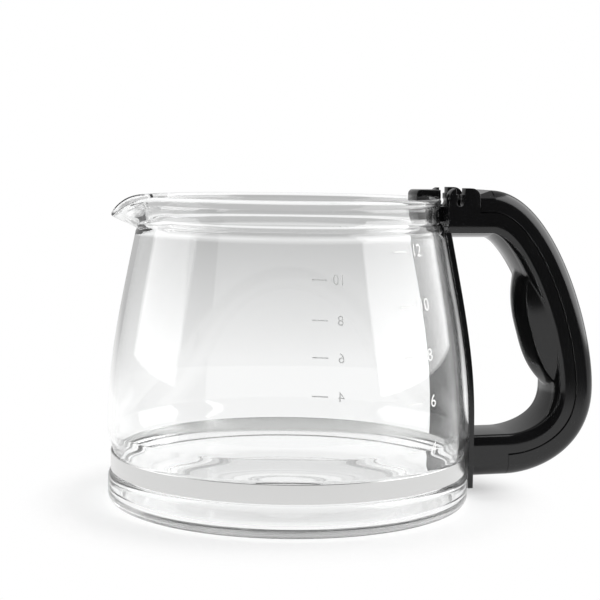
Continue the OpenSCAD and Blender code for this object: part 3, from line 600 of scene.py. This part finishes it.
def cover_chain(w, depth, r, drop=0.0, slant=None, bevel=0.0):
    """The section of the cover's outer or inner face, with round or slanted edges, as (u, y)."""
    t = np.linspace(0, 1, 33)
    if slant:
        reach = 1 - drop / slant[1]
        edge = np.stack([slant[1] * (1 - t * reach), w - slant[0] * t * reach], 1)
    else:
        a = t * np.pi / 2
        edge = np.stack([depth + drop + r * (1 - np.sin(a)), w - r * (1 - np.cos(a))], 1)
    rest = np.stack([np.full(20, edge[-1, 0]), np.linspace(edge[-1, 1], 0, 21)[1:]], 1)
    sides = [(COVER_H, w - bevel), (COVER_H - bevel, w), ((COVER_H + edge[0, 0]) / 2, w)]
    return whole(np.vstack([sides, edge, rest]))


def section_ring(at, run, first, second):
    """Two chains as one closed ring of points at a station of the outer line."""
    u, y = np.vstack([first, second[::-1]]).T
    return np.stack([at[0] + run[1] * u, y, at[1] - run[0] * u], 1)


def channel(chain, open_u):
    """The inner face of the body's channel, one wall inside its outer face."""
    inner = chain * (1, 1 - BODY_WALL / HALF_W)
    inner[:, 0] = np.maximum(inner[:, 0] - BODY_WALL, open_u)
    return inner


def level(chain, u):
    """A chain pressed flat at one depth."""
    return np.stack([np.full(len(chain), u), chain[:, 1]], 1)


block_u = TOP_Z - CHANNEL_Z
block_face = face_chain(0, block_u)
rings = [section_ring((x, TOP_Z), (1, 0), block_face, level(block_face, block_u)) for x in (BLOCK_X, COVER_X)]
for at, run, d in zip(line_at, line_dir, line_run):
    chain = face_chain(d, COVER_H + SEAM_GAP, SEAM_EDGE)
    rings.append(section_ring(at, run, chain, channel(chain, COVER_H + SEAM_GAP)))
low_face = face_chain(LINE_END, COVER_H)
low_under = cover_chain(HALF_W, 0, COVER_EDGE)
for x in (LOWER_END_X, BELLY_R + GLASS_GAP + ARM_IN_STRAP):
    rings.append(section_ring((x, BOTTOM_Z), (-1, 0), low_face, low_under))
handle = loft("handle_moulding", rings)

# The strap follows the glass from under the neck down past the band, with a shallow channel inside.
STRAP_T, STRAP_W, STRAP_Z, STRAP_MID_Z, STRAP_EDGE = 2.2, 44.0, 5.0, 18.0, 0.3
STRAP_TOP_R, STRAP_TOP_Z = 64.7, CREASE_Z - 1
HOLLOW_W, HOLLOW_D, HOLLOW_TOP, HOLLOW_SLOPE = 18.0, 0.8, 106.8, 0.2
strap_line = np.vstack([[(BELLY_R, STRAP_Z), (BELLY_R, STRAP_MID_Z)], WALL[WALL[:, 1] < STRAP_TOP_Z],
                        [(STRAP_TOP_R, STRAP_TOP_Z)]])
half_hollow = HOLLOW_W / 2
strap_side = np.linspace(half_hollow, STRAP_W / 2, 12)
strap_middle = np.linspace(HOLLOW_SLOPE - half_hollow, half_hollow - HOLLOW_SLOPE, 19)
strap_y = np.concatenate([-strap_side[::-1], strap_middle, strap_side])


def strap_ring(r, z, hollow):
    """The strap's section at a height, hollowed in its middle or not."""
    in_hollow = np.abs(strap_y) < half_hollow - HOLLOW_SLOPE / 2
    inner_r = r + GLASS_GAP + np.where(in_hollow, HOLLOW_D * hollow, 0)
    outer_r = np.full(len(strap_y), r + GLASS_GAP + STRAP_T)
    both_r, both_y = np.concatenate([inner_r, outer_r]), np.concatenate([strap_y, strap_y[::-1]])
    return np.stack([np.sqrt(both_r**2 - both_y**2), both_y, np.full(len(both_y), z)], 1)


rings = []
for (r, z), (_, z_next) in zip(strap_line, np.vstack([strap_line[1:], strap_line[-1:]])):
    inside = BELLY_Z < z < HOLLOW_TOP
    rings.append(strap_ring(r, z, inside))
    if inside != (BELLY_Z < z_next < HOLLOW_TOP):
        rings.append(strap_ring(r, z, not inside))
join(handle, loft("strap", rings, STRAP_EDGE), "UNION")

# The hook's post stands outside the neck, its tongue lies over the rim and its leg reaches inside.
HOOK_W, LEG_X0, LEG_X1, LEG_Z, LEG_END, LEG_EDGE = 11.6, 54.72, 59.22, 116.4, (2.5, 5.2), 1.1
TONGUE_X, TONGUE_Z, TONGUE_ROUND, TONGUE_CORNER, OVER_RIM_Z = 53.52, 126.1, 2.0, 0.4, 128.4
POST_X0, POST_X1, POST_Z, ROOT_X = 63.1, 64.4, 117.8, BLOCK_X + 3
root_z = CHANNEL_Z - OVERLAP
tongue_round = oval((TONGUE_X + TONGUE_ROUND, TOP_Z - TONGUE_ROUND), (TONGUE_ROUND, TONGUE_ROUND),
                    90, 180, 13)
hook_outline = [*oval((LEG_X0 + LEG_END[0], LEG_Z + LEG_END[1]), LEG_END, 180, 270, 17),
                *oval((LEG_X1 - LEG_EDGE, LEG_Z + LEG_EDGE), (LEG_EDGE, LEG_EDGE), 270, 360, 9),
                (LEG_X1, OVER_RIM_Z), (POST_X0, OVER_RIM_Z), (POST_X0, POST_Z), (ROOT_X, POST_Z),
                (ROOT_X, root_z), (POST_X1, root_z), (POST_X1, TOP_Z), *tongue_round,
                (TONGUE_X, TONGUE_Z + TONGUE_CORNER), (TONGUE_X + TONGUE_CORNER, TONGUE_Z),
                (LEG_X0, TONGUE_Z)]
join(handle, plate("hook", hook_outline, -HOOK_W / 2, HOOK_W / 2, MOULD_EDGE), "UNION")

# Each cheek has a round seat for a pin, which opens upwards through a narrower slot.
HINGE_X, HINGE_Z, PIN_D, CHEEK_TOP, CHEEK_T, CHEEK_ROUND = 70.84, 126.1, 3.2, 132.2, 4.5, 4.0
HALF_SLOT, HALF_MOUTH, MOUTH_H = 0.35 * PIN_D, 0.61 * PIN_D, 2.6
CHEEK_ROOT_Z, CORNER_CLEAR = CHANNEL_Z - 1, 0.1
cheek_x0, cheek_x1, mouth_z = BLOCK_X + OVERLAP, COVER_X - OVERLAP, CHEEK_TOP - MOUTH_H
round_z, round_axes = CHEEK_TOP - CHEEK_ROUND, (CHEEK_ROUND, CHEEK_ROUND)
left_round = oval((cheek_x0 + CHEEK_ROUND, round_z), round_axes, 180, 90, 17)
right_round = oval((cheek_x1 - CHEEK_ROUND, round_z), round_axes, 90, 0, 17)
seat_open = math.degrees(math.acos(HALF_SLOT / (PIN_D / 2)))
seat = oval((HINGE_X, HINGE_Z), (PIN_D / 2, PIN_D / 2), 180 - seat_open, 360 + seat_open, 29)
cut_x = HINGE_X - HALF_MOUTH
cut_z = round_z + math.sqrt(CHEEK_ROUND**2 - (cheek_x0 + CHEEK_ROUND - cut_x) ** 2)
cheek_outline = [(cheek_x0, CHEEK_ROOT_Z), *left_round[left_round[:, 0] < cut_x - CORNER_CLEAR],
                 (cut_x, cut_z), (cut_x, mouth_z), (HINGE_X - HALF_SLOT, mouth_z), *seat,
                 (HINGE_X + HALF_SLOT, mouth_z), (HINGE_X + HALF_MOUTH, mouth_z),
                 (HINGE_X + HALF_MOUTH, CHEEK_TOP), *right_round, (cheek_x1, CHEEK_ROOT_Z)]
for side in (-1, 1):
    y0, y1 = sorted((side * (HALF_W - CHEEK_T), side * (HALF_W - OVERLAP)))
    join(handle, plate("cheek", cheek_outline, y0, y1, MOULD_EDGE), "UNION")

# The pocket for the ears and the nut, the screw's hole and the seat of its head.
POCKET_X0, POCKET_X1, POCKET_W, POCKET_H = 74.5, 86.6, 14.8, 10.6
BEARING_X, SCREW_HOLE_D, HEAD_SEAT_D = 91.6, 4.4, 9.6
pocket_z0, pocket_z1 = CLAMP_Z - POCKET_H / 2, CLAMP_Z + POCKET_H / 2
pocket_outline = [(POCKET_X0, pocket_z0), (POCKET_X1, pocket_z0),
                  (POCKET_X1, pocket_z1), (POCKET_X0, pocket_z1)]
join(handle, plate("pocket", pocket_outline, -POCKET_W / 2, POCKET_W / 2), "DIFFERENCE")
join(handle, rod("screw_hole", POCKET_X1 - CUT_PAST, BEARING_X + CUT_PAST, SCREW_HOLE_D), "DIFFERENCE")
join(handle, rod("head_seat", BEARING_X, LOWER_END_X + 2 * CUT_PAST, HEAD_SEAT_D), "DIFFERENCE")
smooth_faces(handle, plastic)
seat_piece(handle, "handle_body")

# Rear cover: a curved shell in the same glossy black plastic, with a sloping thumb rest at its top. It
# closes the handle's channel from outside, held by two lips that snap in along the seam.
COVER_T, REST_DROP, REST_SLANT, REST_STOP, END_WALL = 3.0, 1.7, (4.5, 3.285), 0.03, 2.4
LIP_H, LIP_T, LIP_GAP, LIP_ROOT, LIP_SKIP = 2.5, 1.5, 0.15, 2.0, 6
COVER_SEAM_EDGE = 0.2
outer_chain = cover_chain(HALF_W, 0, COVER_EDGE, bevel=COVER_SEAM_EDGE)
inner_chain = cover_chain(HALF_W - COVER_T, COVER_T, COVER_EDGE - COVER_T)
rest_x0, rest_x1 = COVER_X + SEAM_GAP, CROWN_X - REST_STOP


def rest_ring(x, hollow):
    """The thumb rest's section at a place along its slope."""
    drop = REST_DROP * (CROWN_X - x) / (CROWN_X - rest_x0)
    face = cover_chain(HALF_W, 0, COVER_EDGE, drop, REST_SLANT, COVER_SEAM_EDGE)
    back = level(face, COVER_H)
    if hollow:
        back = cover_chain(HALF_W - COVER_T, COVER_T, COVER_EDGE - COVER_T, drop)
    return section_ring((x, TOP_Z), (1, 0), face, back)


rings = [rest_ring(rest_x0, False), rest_ring(rest_x0 + END_WALL, False), rest_ring(rest_x0 + END_WALL, True),
         rest_ring(rest_x1, True)]
shell = [(at, run) for at, run, d in zip(line_at, line_dir, line_run) if 0 < d < LINE_END - END_WALL]
rings += [section_ring(at, run, outer_chain, inner_chain) for at, run in shell]
low_end = (line_at[-1] + (SEAM_GAP, 0), line_dir[-1])
rings += [section_ring(at, run, outer_chain, level(outer_chain, COVER_H)) for at, run in (shell[-1], low_end)]
cover = loft("cover_moulding", rings)
lip_y, lip_u0, lip_u1 = HALF_W - BODY_WALL - LIP_GAP, COVER_H - LIP_ROOT, COVER_H + LIP_H
lip_section = np.array([(lip_u0, lip_y), (lip_u1, lip_y), (lip_u1, lip_y - LIP_T), (lip_u0, lip_y - LIP_T)])
for side in (-1, 1):
    lip = lip_section * (1, side)
    rings = [section_ring(at, run, lip[:2], lip[:1:-1]) for at, run in shell[LIP_SKIP:-LIP_SKIP]]
    join(cover, loft("lip", rings), "UNION")
smooth_faces(cover, plastic)
seat_piece(cover, "back_cover")

# Studio: a pale table that fades into white surroundings, which the glass and the gloss also see,
# with a dark room on the camera's side and a large soft lamp to the right and to the left.
# Lengths are in metres here. Ramps are start, stop, low and high.
TABLE_R, TABLE_AT, TABLE_DROP, TABLE_TONE = 0.36, (0.02, 0.04), 0.0002, (0.95, 0.95, 0.95, 1)
# The second ramp is painted light: the table glows under the jug's foot, in place of the light that the glass
# lets down onto it.
FADE_AWAY, PAINTED_LIGHT_UNDER = (0.078, 0.116, 0.36, 1.0), (0.075, 0.082, 0.85, 0.0)
BACKDROP, ROOM = (-0.135, -0.045, 0.95, 0.5), (0.30, 0.52, 0.0, 1.0)
ROOM_LIGHT, FILL_LIGHT, WHITE = 0.04, 0.4, (1, 1, 1, 1)
LAMP_LIFT, LAMP_DISTANCE, LAMP_AIM = math.radians(27), 1.1, Vector((0.02, 0, 0.06))
CAMERA_AZIMUTH = math.radians(15)

table_white = bpy.data.materials.new("table_white")
table_white.use_nodes = True
tree = table_white.node_tree
tree.nodes.clear()
path = tree.nodes.new("ShaderNodeLightPath").outputs
seen = calc(tree, "MAXIMUM", path["Is Camera Ray"],
            calc(tree, "MAXIMUM", path["Is Glossy Ray"], path["Is Transmission Ray"]))
from_jug = add_node(tree, "ShaderNodeVectorMath", {
    0: tree.nodes.new("ShaderNodeTexCoord").outputs["Object"]}, operation="LENGTH").outputs["Value"]
# The glowing share of the table: even white away from the jug, and under its foot a painted pool of light for
# the light that passes down through the glass.
fade_and_painted_light = calc(tree, "MAXIMUM", ramp(tree, from_jug, *FADE_AWAY, "SMOOTHSTEP"),
            ramp(tree, from_jug, *PAINTED_LIGHT_UNDER, "SMOOTHSTEP"))
lit = add_node(tree, "ShaderNodeBsdfDiffuse", {"Color": TABLE_TONE})
white = add_node(tree, "ShaderNodeEmission", {"Color": WHITE, "Strength": 1.0})
table = add_node(tree, "ShaderNodeMixShader", {0: fade_and_painted_light, 1: lit.outputs[0], 2: white.outputs[0]})
shown = add_node(tree, "ShaderNodeMixShader", {0: seen, 1: lit.outputs[0], 2: table.outputs[0]})
add_node(tree, "ShaderNodeOutputMaterial", {"Surface": shown.outputs[0]})
table_mesh = bpy.data.meshes.new("table_top")
rim = oval(TABLE_AT, (TABLE_R, TABLE_R), 0, 360, 97)[:-1]
table_mesh.from_pydata([(x, y, -TABLE_DROP) for x, y in rim], [], [list(range(len(rim)))])
table_mesh.materials.append(table_white)
table_obj = put_in_scene("table_top", table_mesh)

world = bpy.data.worlds.new("studio")
bpy.context.scene.world = world
world.use_nodes = True
tree = world.node_tree
tree.nodes.clear()
path = tree.nodes.new("ShaderNodeLightPath").outputs
to_camera = Vector((-math.sin(CAMERA_AZIMUTH), -math.cos(CAMERA_AZIMUTH), 0.0))
direction = tree.nodes.new("ShaderNodeTexCoord").outputs["Generated"]
facing = add_node(tree, "ShaderNodeVectorMath", {0: direction, 1: to_camera}, operation="DOT_PRODUCT")
upwards = add_node(tree, "ShaderNodeSeparateXYZ", {0: direction}).outputs["Z"]
backdrop = ramp(tree, upwards, *BACKDROP)
room = ramp(tree, facing.outputs["Value"], *ROOM, "SMOOTHSTEP")
mirrored_room = calc(tree, "MULTIPLY", room, path["Is Reflection Ray"])
around = add_node(tree, "ShaderNodeMix", {0: mirrored_room, 2: backdrop, 3: ROOM_LIGHT}).outputs[0]
seen = calc(tree, "MAXIMUM", path["Is Glossy Ray"], path["Is Transmission Ray"])
for_gloss = add_node(tree, "ShaderNodeMix", {0: seen, 2: FILL_LIGHT, 3: around}).outputs[0]
for_camera = add_node(tree, "ShaderNodeMix", {0: path["Is Camera Ray"], 2: for_gloss, 3: 1.0}).outputs[0]
surround = add_node(tree, "ShaderNodeBackground", {"Color": WHITE, "Strength": for_camera})
add_node(tree, "ShaderNodeOutputWorld", {"Surface": surround.outputs[0]})


def softbox(name, turn, size, radiance):
    """A rectangular lamp that the camera doesn't see, turned from the camera's side by degrees."""
    lamp = bpy.data.lights.new(name, "AREA")
    lamp.shape, lamp.size, lamp.size_y = "RECTANGLE", *size
    lamp.energy = radiance * math.pi * size[0] * size[1]
    way = Matrix.Rotation(math.radians(turn), 3, "Z") @ to_camera
    away = way * math.cos(LAMP_LIFT) + Vector((0, 0, math.sin(LAMP_LIFT)))
    obj = put_in_scene(name, lamp)
    obj.location = LAMP_AIM + away * LAMP_DISTANCE
    obj.rotation_euler = away.to_track_quat("Z", "Y").to_euler()
    obj.visible_camera = False


softbox("lamp_right", turn=92, size=(1.65, 1.1), radiance=2.7)
softbox("lamp_left", turn=-94, size=(0.9, 1.1), radiance=1.7)

# Camera: where the photograph was taken from, a little above the rim, with its slight roll.
# Many bounces let light through the walls of the glass, one behind the other.
CAMERA_AT = Vector((-162.97, -624.55, 146.81)) * MM
CAMERA_PITCH, CAMERA_ROLL = math.radians(5.522), math.radians(0.759)
FOCAL_PX, PICTURE_PX, SENSOR = 1536.39, 600, 36.0
BOUNCES, GLOSSY_BOUNCES = 24, 16
camera_data = bpy.data.cameras.new("photo_camera")
camera_data.sensor_width = SENSOR
camera_data.lens = FOCAL_PX / PICTURE_PX * SENSOR
camera = put_in_scene("photo_camera", camera_data)
look = -to_camera * math.cos(CAMERA_PITCH) - Vector((0, 0, math.sin(CAMERA_PITCH)))
right = Vector((math.cos(CAMERA_AZIMUTH), -math.sin(CAMERA_AZIMUTH), 0.0))
up = right.cross(look)
axis_x = right * math.cos(CAMERA_ROLL) + up * math.sin(CAMERA_ROLL)
axis_y = up * math.cos(CAMERA_ROLL) - right * math.sin(CAMERA_ROLL)
turn_to = Matrix((axis_x, axis_y, -look)).transposed().to_4x4()
camera.matrix_world = Matrix.Translation(CAMERA_AT) @ turn_to
bpy.context.scene.camera = camera
bpy.context.scene.view_settings.view_transform = "Standard"
cycles = bpy.context.scene.cycles
cycles.max_bounces, cycles.glossy_bounces, cycles.transmission_bounces = BOUNCES, GLOSSY_BOUNCES, BOUNCES
